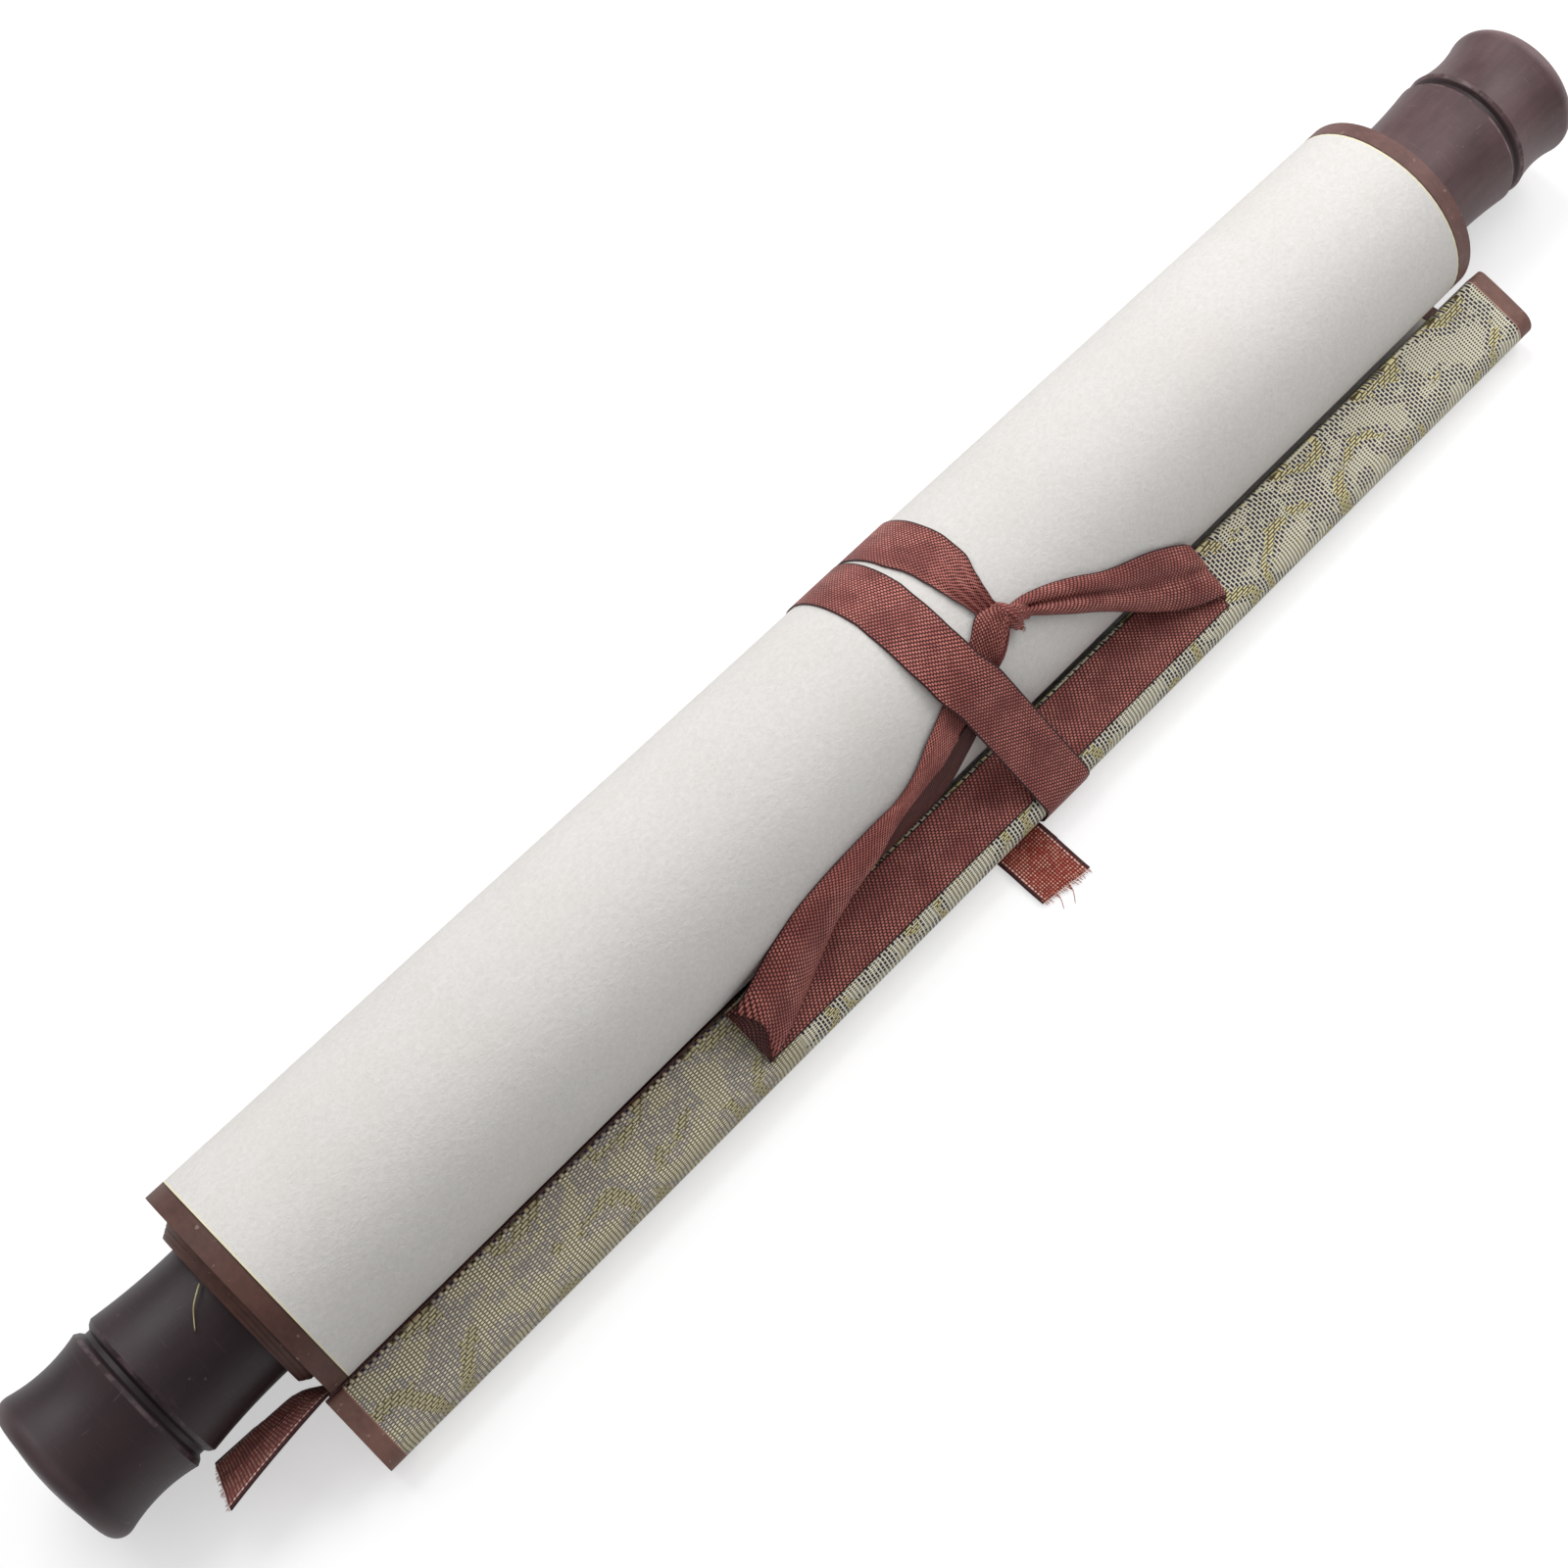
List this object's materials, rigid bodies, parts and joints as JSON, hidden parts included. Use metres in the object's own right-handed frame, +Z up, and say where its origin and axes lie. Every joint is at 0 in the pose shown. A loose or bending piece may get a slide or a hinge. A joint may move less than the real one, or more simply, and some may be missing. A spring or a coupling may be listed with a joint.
{
  "type": "hanging scroll",
  "caption": "Hanging scroll rolled up on its roller, with turned end knobs, a brocade-covered top rod and a fabric ribbon wrapped round it and tied.",
  "frame": {"origin": "under the middle of the whole object, on the surface it lies on", "axes": "+X along the roller to the right knob, +Z up, the top rod leans against the -Y side of the roll"},
  "size_m": [0.386, 0.0666, 0.0433],
  "materials": {
    "dowel_wood": "plain sanded softwood",
    "knob_wood": "dark purple-brown, satin",
    "sheet_paper": "matte laminated paper, fibrous",
    "edge_binding": "matte brown edging paper",
    "rod_wood": "plain sanded softwood",
    "brocade": "woven brocade, cream and gold figures on dark ground",
    "cap_paper": "matte brown paper",
    "ribbon": "woven burgundy tape"
  },
  "bodies": {
    "root": {"roller_dowel": "dowel_wood", "left_knob": "knob_wood", "right_knob": "knob_wood", "rolled_sheet": "sheet_paper", "left_edge_binding": "edge_binding", "right_edge_binding": "edge_binding", "top_rod": "rod_wood", "rod_brocade_cover": "brocade", "rod_left_end_cap": "cap_paper", "rod_right_end_cap": "cap_paper", "hanging_ribbon": "ribbon", "tie_ribbon": "ribbon"}
  },
  "joints": []
}
